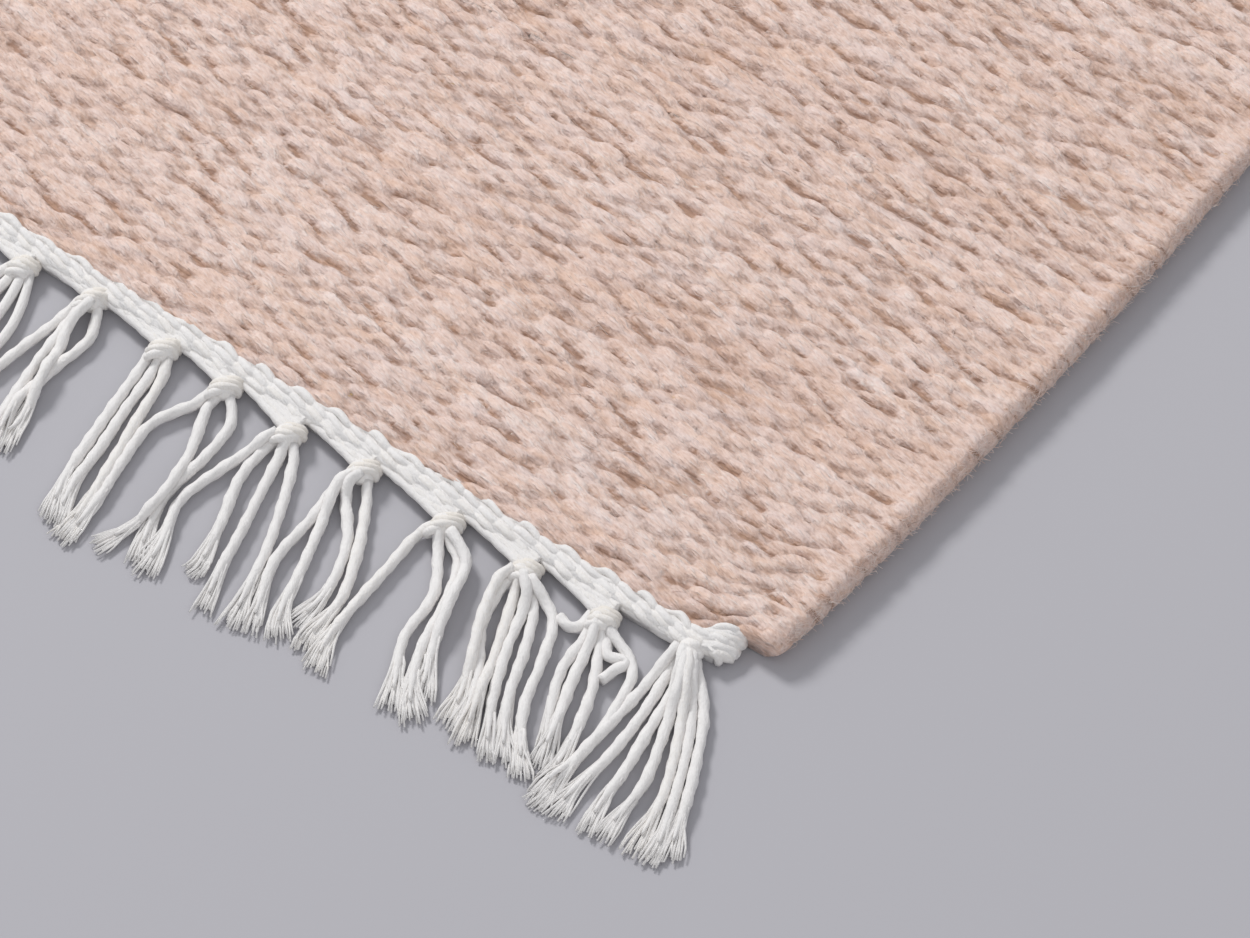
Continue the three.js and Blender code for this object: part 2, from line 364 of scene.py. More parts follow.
def wool_top(first, last, start, end, per_warp, per_row, bead_steps):
    """The upper face of a stretch of the wool, woven over its own warps and rows."""
    place, x, z, lean_x, lean_z, slant = top_columns(first, last, per_warp, bead_steps)
    if per_row == 1:
        rows = np.concatenate([[start], np.arange(start, end) + 0.5, [end]])
    else:
        rows = np.arange(start * per_row, end * per_row + 1) / per_row
    warp = np.broadcast_to(np.clip(place, 0.5, WARPS - 0.5), (len(rows), len(place)))
    row = rows[:, None] - slant[None, :]
    relief, tone = weave(WOOL, warp, np.broadcast_to(row, warp.shape))
    inset = np.minimum(place, WARPS - place) * WARP_PITCH
    from_bead = smoothstep(inset, BEAD_RELIEF["from"], BEAD_RELIEF["to"])
    calm = mix(BEAD_RELIEF["least"], 1, from_bead)[None, :]
    relief = mix(BEAD_RELIEF["settled"] * WOOL["rise"], relief, calm)
    plain_y = np.broadcast_to(rows[:, None] * ROW_PITCH - HALF_WOOL, warp.shape)
    from_end = np.minimum(rows, ROWS - rows)[:, None]
    fallen = np.exp(-from_end / WOOL_END["fall_rows"]) * WOOL_END["fall"]
    between = smoothstep(WOOL["rise"] - relief, 0, 2 * WOOL["rise"])
    tucked = np.exp(-from_end / WOOL_END["tuck_rows"]) * between * WOOL_END["tuck"]
    plain_x = x[None, :] + relief * lean_x[None, :]
    px, py = woven(np.broadcast_to(x, warp.shape), plain_y)
    px = px + plain_x - x[None, :]
    py = py - np.sign(plain_y) * tucked
    pz = z[None, :] + (relief - fallen) * lean_z[None, :]
    return {
        "x": px, "y": py, "z": np.maximum(pz, 0), "tone": tone, "crease": crease_depth(relief),
        "columns": place, "rows": rows,
    }


def wool_under(first, last, start, end):
    """The under face of the same stretch: the same weave seen from below, one point a crossing."""
    left = BEAD / WARP_PITCH if first == 0 else first
    right = WARPS - BEAD / WARP_PITCH if last == WARPS else last
    middles = np.arange(first, last) + 0.5
    clear = 0.2
    middles = middles[(middles > left + clear) & (middles < right - clear)]
    places = np.concatenate([[left], middles, [right]])
    rows = np.concatenate([[start], np.arange(start, end) + 0.5, [end]])
    warp, row = np.meshgrid(places, rows)
    relief, tone = weave(WOOL, warp, row, under=True)
    x, y = woven(warp * WARP_PITCH - HALF_WIDTH, row * ROW_PITCH - HALF_WOOL)
    return {
        "x": x, "y": y, "z": np.maximum(WOOL["rise"] - relief, 0) * UNDER_RELIEF, "tone": tone,
        "crease": crease_depth(relief), "columns": places, "rows": rows,
    }


# Stretches of the wool: first and last warp, first and last row, and points a warp and a row
FINE = {"per_warp": 6, "per_row": 4, "bead_steps": 14}
PLAIN = {"per_warp": 3, "per_row": 1, "bead_steps": 7}
COARSE = {"per_warp": 2, "per_row": 1, "bead_steps": 7}
WOOL_STRETCHES = [
    ("wool_corner", 67, 118, 0, 54, FINE),
    ("wool_selvedge", 83, 118, 54, 108, FINE),
    ("wool_end", 0, 67, 0, 54, PLAIN),
    ("wool_side", 0, 83, 54, 108, PLAIN),
    ("wool_middle_a", 0, 118, 108, 215, COARSE),
    ("wool_middle_b", 0, 118, 215, 322, COARSE),
    ("wool_far", 0, 118, 322, 428, COARSE),
]


def wool_pieces():
    pieces = []
    for name, first, last, start, end, detail in WOOL_STRETCHES:
        top = wool_top(first, last, start, end, **detail)
        piece = closed_cloth(name, top, wool_under(first, last, start, end))
        size = ((last - first) * WARP_PITCH, (end - start) * ROW_PITCH)
        pieces.append((piece, size))
    return pieces


# Loose fibres that stand a little off the wool near the shown corner and along its selvedge: how far
# along the rug they reach from its end, where they lie across it, and their angles from the weft in
# degrees, as a mean and a spread
FUZZ = {
    "count": 3600,
    "thick": 0.05 * MM,
    "long": (2 * MM, 5.5 * MM),
    "rise": 0.5 * MM,
    "edge_rise": 0.4 * MM,
    "reach": 222 * MM,
    "across": (-60 * MM, 288 * MM),
    "sunk": 0.35 * MM,
    "angle": (8, 28),
    "edge_angle": (60, 40),
}


def fuzz_fibre(bundle, x, y, z, heading_angle, length, rise):
    """One fine fibre that leaves the surface, bows a little and lies down again."""
    t = np.linspace(0, 1, 3)
    bow = RNG.normal(0, 0.16) * length * np.sin(math.pi * t)
    ahead = (t - 0.5) * length
    path = np.stack([
        x + ahead * math.cos(heading_angle) - bow * math.sin(heading_angle),
        y + ahead * math.sin(heading_angle) + bow * math.cos(heading_angle),
        z + rise * np.sin(math.pi * t) - 0.15 * MM,
    ], -1)
    thick = FUZZ["thick"] * RNG.uniform(0.7, 1.3)
    bundle.add(*yarn_mesh(path, thick, 3), 0.5 + RNG.uniform(-0.1, 0.35))


def wool_fuzz():
    """Fibres over the corner's cloth, and more of them round its selvedge."""
    bundle = Bundle()
    for k in range(FUZZ["count"]):
        length = RNG.uniform(*FUZZ["long"])
        angle = math.radians(RNG.normal(*FUZZ["angle"]))
        if k % 3:
            x = RNG.uniform(*FUZZ["across"])
            y = -HALF_WOOL + RNG.uniform(2 * MM, FUZZ["reach"])
            px, py = woven(np.array(x), np.array(y))
            z = crown_height(HALF_WIDTH - x) - FUZZ["sunk"]
            rise = FUZZ["rise"] * RNG.uniform(0.3, 1)
            fuzz_fibre(bundle, float(px), float(py), float(z), angle, length, rise)
        else:
            turn = RNG.uniform(-0.2, 1.2)
            y = -HALF_WOOL + RNG.uniform(4 * MM, FUZZ["reach"])
            px, py = woven(np.array(HALF_WIDTH - BEAD), np.array(y))
            radius = BEAD - 0.2 * MM
            x = float(px) + radius * math.cos(turn)
            z = BEAD + radius * math.sin(turn)
            angle = math.radians(RNG.normal(*FUZZ["edge_angle"]))
            fuzz_fibre(bundle, x, float(py), z, angle, 0.6 * length, FUZZ["edge_rise"])
    piece = bundle.piece("wool_fuzz")
    crease = piece.data.attributes.new("crease", "FLOAT", "POINT")
    crease.data.foreach_set("value", np.zeros(len(piece.data.vertices), np.float32))
    return piece


# Yarn

def smooth_path(points, steps):
    """A Catmull-Rom curve through the points, at even steps along it."""
    points = np.asarray(points, float)
    ends = np.concatenate([[2 * points[0] - points[1]], points, [2 * points[-1] - points[-2]]])
    fine = []
    for k in range(1, len(ends) - 2):
        p0, p1, p2, p3 = ends[k - 1:k + 3]
        t = np.linspace(0, 1, 12, endpoint=False)[:, None]
        fine.append(0.5 * (
            2 * p1 + (p2 - p0) * t + (2 * p0 - 5 * p1 + 4 * p2 - p3) * t ** 2
            + (3 * p1 - p0 - 3 * p2 + p3) * t ** 3
        ))
    fine = np.concatenate([*fine, points[-1:]])
    reach = np.concatenate([[0], np.cumsum(np.linalg.norm(np.diff(fine, axis=0), axis=1))])
    at = np.linspace(0, reach[-1], steps)
    return np.stack([np.interp(at, reach, fine[:, k]) for k in range(3)], -1)


def yarn_mesh(path, radii, sides, plies=0, lay=0.0, depth=0.0, turn=0.0):
    """A closed tube along a path. With plies, its section is lobed and turns by lay per metre."""
    path = np.asarray(path, float)
    count = len(path)
    radii = np.broadcast_to(radii, (count,))
    tangents = np.gradient(path, axis=0)
    tangents /= np.linalg.norm(tangents, axis=1)[:, None]
    side = np.cross(tangents[0], (0, 0, 1.0))
    if np.linalg.norm(side) < 0.1:
        side = np.cross(tangents[0], (0, 1.0, 0))
    sides_at = []
    for tangent in tangents:
        side = side - tangent * np.dot(side, tangent)
        side = side / np.linalg.norm(side)
        sides_at.append(side)
    across = np.array(sides_at)
    up = np.cross(across, tangents)
    reach = np.concatenate([[0], np.cumsum(np.linalg.norm(np.diff(path, axis=0), axis=1))])
    angle = np.arange(sides) / sides * 2 * math.pi
    lobes = 1 + depth * np.cos(plies * (angle[None, :] - turn - lay * reach[:, None])) if plies else 1
    radius = radii[:, None] * lobes
    ring = (
        path[:, None, :]
        + radius[..., None] * (
            np.cos(angle)[None, :, None] * across[:, None, :]
            + np.sin(angle)[None, :, None] * up[:, None, :]
        )
    )
    points = np.concatenate([ring.reshape(-1, 3), path[:1], path[-1:]])
    grid = np.arange(count * sides).reshape(count, sides)
    near = grid[:-1]
    far = grid[1:]
    a, b = near.reshape(-1), np.roll(near, -1, axis=1).reshape(-1)
    c, d = np.roll(far, -1, axis=1).reshape(-1), far.reshape(-1)
    faces = np.concatenate([np.stack([a, b, d], -1), np.stack([b, c, d], -1)])
    first, last = count * sides, count * sides + 1
    start = np.stack([np.roll(grid[0], -1), grid[0], np.full(sides, first)], -1)
    stop = np.stack([grid[-1], np.roll(grid[-1], -1), np.full(sides, last)], -1)
    return points, np.concatenate([faces, start, stop])[:, ::-1]


# The heading

HEADING_ROWS = 5
HEADING_YARN = {
    "radius": 0.9 * MM,
    "rise": 0.3 * MM,
    "slant": 0.55 * MM,
    "tooth": 0.35 * MM,
    "wander": 0.22 * MM,
    "crest": 5.1 * MM,
    "fall": 0.2 * MM,
    "unlevel": 0.17 * MM,
    "swell": 0.08,
    "uneven": 0.1,
}
# The end of a cotton weft: how far on each point lies, in mm, and its share of the way down
TURN_DOWN = [(0.7, 0.12), (1.2, 0.4), (1.3, 0.7), (1.1, 1)]
TURN_DOWN_LOW = 0.9 * MM
# How far in from the selvedge the rows of cotton stop, beneath the ends that turn down there
HEADING_END = 12 * MM
UNDERLAY = {"low": 0.2 * MM, "top": 4.1 * MM, "setback": 0.4 * MM, "step": 5 * MM}


def heading_span(count):
    """Evenly spaced places across the rug, where the heading reaches, in plain measure."""
    return np.linspace(-HALF_WIDTH + HEADING_END, HALF_WIDTH - HEADING_END, count)


def heading_yarn(bundle, row, per_warp, sides):
    """One cotton weft, which passes over every second warp and turns down at both ends."""
    size = HEADING_YARN
    plain = heading_span(round((RUG_WIDTH - 2 * HEADING_END) / WARP_PITCH * per_warp))
    x, inner = woven(plain, np.full(plain.shape, -HALF_WOOL))
    warp = (plain + HALF_WIDTH) / WARP_PITCH
    phase = math.pi * (warp + 0.5 + row)
    arch = np.sin(math.pi / 2 * np.cos(phase))
    uneven = [np.interp(warp, np.arange(WARPS + 1), RNG.normal(0, 1, WARPS + 1)) for _ in range(3)]
    share = (row + 0.1) / HEADING_ROWS
    y = mix(inner, heading_edge(x), share) - size["slant"] * np.sin(phase) + size["wander"] * uneven[0]
    if row == 0:
        y = y + size["tooth"] * np.clip(np.cos(phase), 0, 1)
    middle = size["crest"] - size["rise"] - size["radius"] - size["fall"] * row
    z = middle + size["rise"] * arch + size["unlevel"] * uneven[1]
    path = np.stack([x, y, z], -1)
    radii = size["radius"] * (1 + size["swell"] * arch + size["uneven"] * uneven[2].clip(-2, 2))
    ends = []
    for end, before in ((path[0], path[per_warp]), (path[-1], path[-1 - per_warp])):
        out = end - before
        out[2] = 0
        out = out / np.linalg.norm(out) * MM
        drop = end[2] - TURN_DOWN_LOW
        ends.append([end + out * ahead - (0, 0, down * drop) for ahead, down in TURN_DOWN])
    path = np.concatenate([ends[0][::-1], path, ends[1]])
    extra = len(TURN_DOWN)
    radii = np.concatenate([radii[:1].repeat(extra), radii, radii[-1:].repeat(extra)])
    bundle.add(*yarn_mesh(path, radii, sides), 0.6 + 0.1 * RNG.uniform(-1, 1))


def underlay(bundle):
    """The cotton behind the heading's yarns, so that no light comes through between them."""
    plain = heading_span(round(RUG_WIDTH / UNDERLAY["step"]))
    x, inner = woven(plain, np.full(plain.shape, -HALF_WOOL))
    outer = heading_edge(x) + UNDERLAY["setback"]
    inner = inner + GAP
    low, high = UNDERLAY["low"], UNDERLAY["top"]
    ring = [(outer, low), (outer, high), (inner, high), (inner, low)]
    points = np.stack([np.stack([x, y, np.full(x.shape, z)], -1) for y, z in ring], 1).reshape(-1, 3)
    grid = np.arange(len(x) * 4).reshape(-1, 4)
    a, b = grid[:-1].reshape(-1), np.roll(grid[:-1], -1, axis=1).reshape(-1)
    c, d = np.roll(grid[1:], -1, axis=1).reshape(-1), grid[1:].reshape(-1)
    first, last = grid[0], grid[-1]
    caps = [[first[0], first[1], first[2]], [first[0], first[2], first[3]],
            [last[0], last[2], last[1]], [last[0], last[3], last[2]]]
    faces = np.concatenate([np.stack([a, d, b], -1), np.stack([b, d, c], -1), np.array(caps)])
    bundle.add(points, faces, 0.5)


# Where the cotton turns down at each side: places by inset and distance out from the wool, in mm,
# of the yarn nearest to the wool and of the farthest, and each place's height over the band's top
STUB = {
    "yarns": 7,
    "radius": 1.25 * MM,
    "top": 3.6 * MM,
    "low": 1.4 * MM,
    "drop": 0.9 * MM,
    "uneven": 0.3 * MM,
    "wave": 0.2 * MM,
    "swell": 0.08,
    "steps": 16,
}
STUB_UPPER = [(30, 1.4), (22.5, 0.8), (17.5, -1.9), (14.2, -4.0), (12.9, -4.5), (12.7, -4.4)]
STUB_LOWER = [(30, 3.2), (22.5, 3.7), (17.5, 2.8), (14.0, 1.2), (12.1, 0.1), (11.7, -0.1)]
STUB_HEIGHTS = (-1.3, -0.4, 0.1, -0.2, -1.3, -2.6)


def stub(bundle, side, sides):
    """The ends of the cotton rows, packed into one smooth band that turns down beside the wool."""
    upper, lower = np.array(STUB_UPPER), np.array(STUB_LOWER)
    heights = np.array(STUB_HEIGHTS) * MM
    for k in range(STUB["yarns"]):
        share = k / (STUB["yarns"] - 1)
        place = mix(upper, lower, share) * MM
        x = side * (HALF_WIDTH - place[:, 0] + STUB["uneven"] * math.sin(k * 1.9))
        y = -HALF_WOOL - place[:, 1] + STUB["wave"] * np.sin(place[:, 0] / MM + k * 2.6)
        z = np.maximum(STUB["top"] - STUB["drop"] * share + heights, STUB["low"])
        path = smooth_path(np.stack([x, y, z], -1), STUB["steps"])
        radii = STUB["radius"] * (1 + STUB["swell"] * np.sin(np.arange(STUB["steps"]) * 1.1 + k * 2))
        bundle.add(*yarn_mesh(path, radii, sides), 0.55 + 0.08 * math.sin(k * 2.3))


def heading(name, per_warp, sides, turned=False):
    """The cotton rows at an end, each a thick soft yarn, packed so close that they hide the warps."""
    bundle = Bundle()
    underlay(bundle)
    for row in range(HEADING_ROWS):
        heading_yarn(bundle, row, per_warp, sides)
    for side in (-1, 1):
        stub(bundle, side, sides)
    return bundle.piece(name, turned)


# The fringe

KNOT_OUT = 8.5 * MM
CORNER_KNOT_OUT = 7 * MM
ROOT_SPREAD = 4.4 * MM
ROOT_HEIGHT = 2.4 * MM
YARN_RADIUS = 1.2 * MM
ON_FLOOR = 1.2 * YARN_RADIUS
CURL_MIDDLE = 1.6 * MM
STRAND_MIDDLE = 1.3 * MM
KNOT_MIDDLE = 3 * MM
TWIST = {"lay": 15 * MM, "depth": 0.12, "lumps": 0.07, "lump_pitch": 4 * MM, "tip": 0.22}
CURL = {"twist": 420, "plies": 3, "depth": 0.1, "steps": 20, "sides": 10}
CROSSING = {"clearance": 2.1 * MM, "highest": 4.5 * MM}
BRUSH = {
    "length": 11 * MM,
    "half_width": 2.6 * MM,
    "root": 0.42 * MM,
    "tip": 0.2 * MM,
    "fan": (0.75, 1.35),
    "opens": (0.9, 1.7),
    "ragged": (-2.2 * MM, 1.4 * MM),
    "low": (0.3 * MM, 0.9 * MM),
}

# Knots counted from the right selvedge, as in the solids: how far in each one sits, as measured in the
# photograph, its strands, how far its tips lie towards that selvedge, how wide they spread, and how
# far the outer ones belly out
CORNER_GROUPS = [
    (19.6, 7, 13.5, 27, 1),
    (38.3, 5, 9, 12, 4),
    (58.7, 6, 12, 16, 3),
    (79.5, 4, 10, 16, 4),
    (102.2, 4, 11, 12, 5),
    (120.9, 4, 10, 16, 3),
    (139.8, 4, 7, 14, 6),
    (157.1, 4, 8, 9.5, 1),
    (178.3, 4, 5, 12, 2),
    (196.5, 4, 4, 11, 4),
]
LAST_GROUP = (583, 6, 6, 17, 1)
PLAIN_GROUPS = 19
PLAIN_GROUP = {"strands": 4, "lean": 6, "spread": 11, "belly": 3.5}
GROUP_VARIES = {"inward": 2, "lean": 3, "lean_turn": 0.9, "spread": 2}

# A plain strand: how much its reach varies, and how it leans and bellies on its way out
RAGGEDNESS = 0.11
LEAN_CURVE = 0.9
BELLY_TURN = 1.4
PLAIN_STEPS = (0, 0.12, 0.3, 0.5, 0.7, 0.86, 1)

# Points round and along each yarn of the fringe, and fibres, sides and points of a strand's brush
SHOWN_END = {"gather": (8, 12), "knot": (24, 16), "wrap": (8, 14)}
HIDDEN_END = {"gather": (6, 7), "knot": (12, 8), "wrap": (6, 8)}
SHOWN_STRAND = {"steps": 44, "sides": 10, "plies": 3, "brush": (24, 4, 6)}
PLAIN_STRAND = {"steps": 15, "sides": 7, "plies": 0, "brush": (8, 3, 4)}

# Where the photograph shows the knots of the corner
SHOWN_KNOTS = [
    (690, 650), (603, 620), (525, 572), (445, 525), (362, 472),
    (288, 435), (225, 388), (163, 350), (93, 300), (22, 268),
]

# The strands of the corner, knot by knot, each as the points where the photograph shows it, listed from
# the knot to the tip.
# A strand that leaves the picture goes on by guess, at negative places.
SHOWN_STRANDS = [
    [
        [(674, 658), (658, 670), (643, 691), (624, 710), (606, 726),
         (590, 743), (573, 766), (550, 789), (533, 802)],
        [(681, 661), (666, 678), (643, 713), (626, 739), (603, 763), (583, 779), (563, 799), (550, 812)],
        [(684, 663), (672, 693), (653, 723), (636, 756), (616, 783), (596, 809), (586, 829)],
        [(687, 663), (679, 690), (668, 720), (659, 749), (649, 778), (626, 806), (608, 827), (603, 836)],
        [(696, 661), (687, 686), (681, 720), (676, 753), (668, 786), (656, 811), (641, 836), (633, 852)],
        [(704, 661), (694, 690), (689, 726), (686, 763), (676, 796), (666, 819), (656, 852), (649, 860)],
        [(714, 658), (707, 686), (702, 723), (697, 761), (689, 794), (679, 827), (666, 859)],
    ],
    [
        [(591, 631), (570, 656), (556, 681), (549, 703), (547, 733), (543, 755)],
        [(595, 633), (581, 667), (565, 692), (557, 715), (552, 742), (540, 764)],
        [(600, 642), (597, 671), (590, 697), (584, 721), (565, 750), (545, 780)],
        [(616, 630), (633, 663), (631, 686), (613, 713), (598, 739), (575, 759), (555, 776), (538, 799)],
    ],
    [
        [(513, 569), (499, 583), (486, 606), (481, 626), (474, 653), (466, 681), (456, 699), (449, 719)],
        [(500, 590), (482, 624), (484, 653), (477, 681), (470, 703), (457, 730)],
        [(518, 585), (513, 599), (504, 628), (495, 656), (484, 685), (474, 710), (463, 740)],
        [(529, 589), (522, 621), (506, 649), (497, 678), (491, 706), (488, 733), (486, 756)],
        [(534, 589), (534, 617), (524, 653), (516, 678), (507, 703), (506, 733), (502, 760)],
        [(538, 581), (554, 603), (552, 631), (541, 664), (529, 696), (518, 724), (516, 747), (520, 774)],
    ],
    [
        [(429, 523), (404, 549), (379, 579), (354, 606), (334, 624), (324, 645), (313, 667)],
        [(432, 531), (440, 556), (445, 572), (441, 589), (422, 606),
         (406, 624), (402, 653), (393, 689), (390, 705)],
        [(449, 533), (457, 560), (463, 574), (449, 599), (432, 621),
         (422, 646), (415, 674), (409, 698), (413, 719)],
        [(450, 533), (466, 564), (466, 576), (456, 596), (443, 617),
         (434, 642), (429, 662), (420, 680), (420, 699)],
    ],
    [
        [(343, 478), (329, 495), (319, 513), (299, 530), (278, 553), (270, 576), (258, 604), (250, 629)],
        [(343, 480), (329, 505), (319, 530), (306, 556), (296, 583), (280, 612), (278, 637)],
        [(346, 485), (347, 510), (347, 546), (342, 573), (326, 592), (313, 609), (293, 622)],
        [(366, 485), (366, 513), (359, 539), (356, 576), (346, 596), (326, 609), (313, 629), (306, 645)],
    ],
    [
        [(273, 435), (256, 450), (235, 463), (213, 473), (184, 495), (170, 518), (161, 545), (142, 571)],
        [(275, 440), (253, 461), (235, 485), (225, 510), (218, 533), (207, 556), (190, 571)],
        [(283, 450), (270, 478), (250, 510), (236, 543), (223, 568), (208, 584), (202, 608)],
        [(296, 447), (291, 476), (280, 513), (270, 543), (255, 576), (243, 596), (230, 622)],
    ],
    [
        [(203, 403), (180, 407), (153, 422), (126, 456), (107, 487), (80, 525), (63, 539)],
        [(210, 399), (201, 428), (187, 460), (168, 495), (134, 525), (96, 544)],
        [(230, 395), (231, 424), (222, 443), (195, 466), (172, 487), (153, 514), (138, 558)],
    ],
    [
        [(151, 354), (132, 381), (120, 395), (109, 416), (82, 451), (67, 476), (38, 502), (48, 514)],
        [(156, 356), (147, 386), (126, 409), (103, 445), (75, 480), (55, 520)],
        [(166, 362), (164, 376), (154, 394), (132, 428), (114, 460), (107, 468), (92, 495), (63, 533)],
    ],
    [
        [(76, 309), (44, 331), (0, 365), (-32, 392), (-78, 434)],
        [(73, 319), (48, 346), (29, 376), (0, 416), (-22, 452)],
        [(76, 322), (56, 351), (48, 375), (15, 428), (0, 445)],
        [(97, 318), (94, 335), (76, 353), (54, 369), (8, 412), (-8, 446)],
    ],
]

# How far out from the wool a shown strand's route has its points between knot and tip, in mm
DEPTHS = (14, 24, 36, 46)

# Two short ends that curl at a knot instead of lying out with the rest
CURLS = [
    [(600, 605), (590, 615), (581, 626), (568, 626), (559, 617)],
    [(606, 637), (608, 656), (623, 660), (626, 665), (613, 671), (601, 681)],
]


def knot_groups():
    """Every knot group of the near end, from the right selvedge to the left one."""
    start = CORNER_GROUPS[-1][0]
    pitch = (LAST_GROUP[0] - start) / (PLAIN_GROUPS + 1)
    plain = [(
        start + pitch * (i + 1) + GROUP_VARIES["inward"] * (chance(i) - 0.5),
        PLAIN_GROUP["strands"],
        PLAIN_GROUP["lean"] + GROUP_VARIES["lean"] * math.sin(i * GROUP_VARIES["lean_turn"]),
        PLAIN_GROUP["spread"] + GROUP_VARIES["spread"] * chance(i + 100),
        PLAIN_GROUP["belly"] * chance(i + 150),
    ) for i in range(PLAIN_GROUPS)]
    groups = []
    shapes = [*CORNER_GROUPS, *plain, LAST_GROUP]
    for number, (inward, strands, lean, spread, belly) in enumerate(shapes):
        groups.append({
            "number": number,
            "strands": strands,
            "lean": lean * MM,
            "spread": spread * MM,
            "belly": belly * MM,
            "x": HALF_WIDTH - inward * MM,
            "y": -HALF_WOOL - (CORNER_KNOT_OUT if number == 0 else KNOT_OUT),
        })
    return groups


def on_floor(inset, reach):
    """A strand's point by its inset from the right selvedge and its reach out from the wool, in mm."""
    return (HALF_WIDTH - inset * MM, -HALF_WOOL - reach * MM, ON_FLOOR)


def shown_route(group, pixels, place):
    """A strand of the corner, from its knot to the tip that the photograph shows."""
    points = [on_photo(pixel, STRAND_MIDDLE) for pixel in pixels]
    seen = sorted((-HALF_WOOL - point.y, HALF_WIDTH - point.x) for point in points)
    reach, inset = np.array(seen).T / MM
    out = -(HALF_WOOL + points[-1].y) / MM
    tip = (HALF_WIDTH - points[-1].x) / MM
    root = (group["x"] + place * ROOT_SPREAD, group["y"] - 1 * MM, ROOT_HEIGHT)
    middle = [on_floor(np.interp(depth, reach, inset), depth) for depth in DEPTHS if depth < out - 3]
    return [root, *middle, on_floor(tip, out)]


def plain_route(group, place):
    """The route that the solid's strand takes."""
    out = FRINGE_REACH * (1 - RAGGEDNESS * chance(group["number"] * 9 + place * 50))
    tip = np.array([group["x"] + group["lean"] + place * group["spread"], -HALF_WOOL - out])
    root = np.array([group["x"] + place * ROOT_SPREAD, group["y"]])
    route = []
    for along in PLAIN_STEPS:
        aside = group["belly"] * 2 * place * math.sin(math.pi * min(along * BELLY_TURN, 1))
        x = mix(root[0], tip[0], along ** LEAN_CURVE) + aside
        y = mix(root[1], tip[1], along)
        route.append((x, y, ROOT_HEIGHT if along == 0 else ON_FLOOR))
    return route


def lie_over(paths):
    """Lifts each path over the ones laid before it where they cross, then eases it."""
    clearance = CROSSING["clearance"]
    laid = []
    for path in paths:
        path = path.copy()
        if laid:
            under = np.concatenate(laid)
            apart = np.linalg.norm(path[:, None, :2] - under[None, :, :2], axis=2)
            over = under[None, :, 2] + np.sqrt(np.clip(clearance ** 2 - apart ** 2, 0, None))
            need = np.where(apart < clearance, over, 0).max(axis=1)
            raised = np.maximum(path[:, 2], np.minimum(need, CROSSING["highest"]))
            for _ in range(4):
                eased = np.convolve(np.pad(raised, 1, mode="edge"), (0.25, 0.5, 0.25), "valid")
                raised = np.maximum(eased, path[:, 2])
            path[:, 2] = raised
        laid.append(path)
    return laid


def frayed_end(bundle, path, fibres, sides, steps, tone):
    """The brush at a strand's end, where its fibres come apart on the floor."""
    reach = np.concatenate([[0], np.cumsum(np.linalg.norm(np.diff(path, axis=0), axis=1))])
    total = reach[-1]
    tangents = np.gradient(path, axis=0)
    tangents /= np.linalg.norm(tangents, axis=1)[:, None]
    fan = RNG.uniform(*BRUSH["fan"])
    for k in range(fibres):
        place = (k + RNG.uniform(0, 1)) / fibres * 2 - 1
        start = total - BRUSH["length"] * RNG.uniform(*BRUSH["opens"])
        stop = total + RNG.uniform(*BRUSH["ragged"])
        at = np.linspace(start, stop, steps)
        middle = np.stack([np.interp(at, reach, path[:, axis]) for axis in range(3)], -1)
        middle += tangents[-1] * np.clip(at - total, 0, None)[:, None]
        t = np.linspace(0, 1, steps)
        opened = mix(0.65 * YARN_RADIUS, BRUSH["half_width"] * fan, smoothstep(t, 0.1, 1.1))
        across = place * opened + RNG.normal(0, 0.22) * MM * np.sin(t * RNG.uniform(3, 7))
        high = YARN_RADIUS * RNG.uniform(0.5, 1.5)
        low = mix(high, RNG.uniform(*BRUSH["low"]), smoothstep(t, 0, 0.8))
        route = np.stack([
            middle[:, 0] - np.interp(at, reach, tangents[:, 1]) * across,
            middle[:, 1] + np.interp(at, reach, tangents[:, 0]) * across,
            np.maximum(middle[:, 2] - YARN_RADIUS, 0) * (1 - t) + low,
        ], -1)
        radii = np.linspace(BRUSH["root"], BRUSH["tip"], steps)
        bundle.add(*yarn_mesh(route, radii, sides), tone)


def strand(bundle, path, sides, plies, tone):
    """One warp end: a soft twisted yarn from its knot to its brush."""
    reach = np.concatenate([[0], np.cumsum(np.linalg.norm(np.diff(path, axis=0), axis=1))])
    from_tip = reach[-1] - reach
    lumps_at = np.arange(23) * TWIST["lump_pitch"]
    lumps = np.interp(reach, lumps_at, RNG.normal(0, 1, len(lumps_at)).clip(-2, 2))
    thinned = smoothstep(from_tip, 0.3 * BRUSH["length"], 1.35 * BRUSH["length"])
    radii = YARN_RADIUS * (1 + TWIST["lumps"] * lumps) * mix(TWIST["tip"], 1, thinned)
    keep = from_tip > 0.35 * BRUSH["length"]
    lay = 2 * math.pi / TWIST["lay"]
    turn = RNG.uniform(0, 6)
    bundle.add(*yarn_mesh(path[keep], radii[keep], sides, plies, lay, TWIST["depth"], turn), tone)


# The knot: turns of yarn laid over a round lump
LUMP = {"half": (2.9 * MM, 2.9 * MM, 2.3 * MM), "middle": 2.75 * MM, "grooves": 4, "groove": 0.09}
KNOT = {
    "turns": 4,
    "yarn": 0.95 * MM,
    "half_length": 2.0 * MM,
    "half_width": 2.5 * MM,
    "middle": 2.3 * MM,
    "height": 2.2 * MM,
    "from": -0.14 * math.pi,
    "to": 1.14 * math.pi,
    "lean": 0.75 * MM,
    "lean_varies": 0.4 * MM,
    "wobble": 0.25 * MM,
    "swell": 0.1,
}


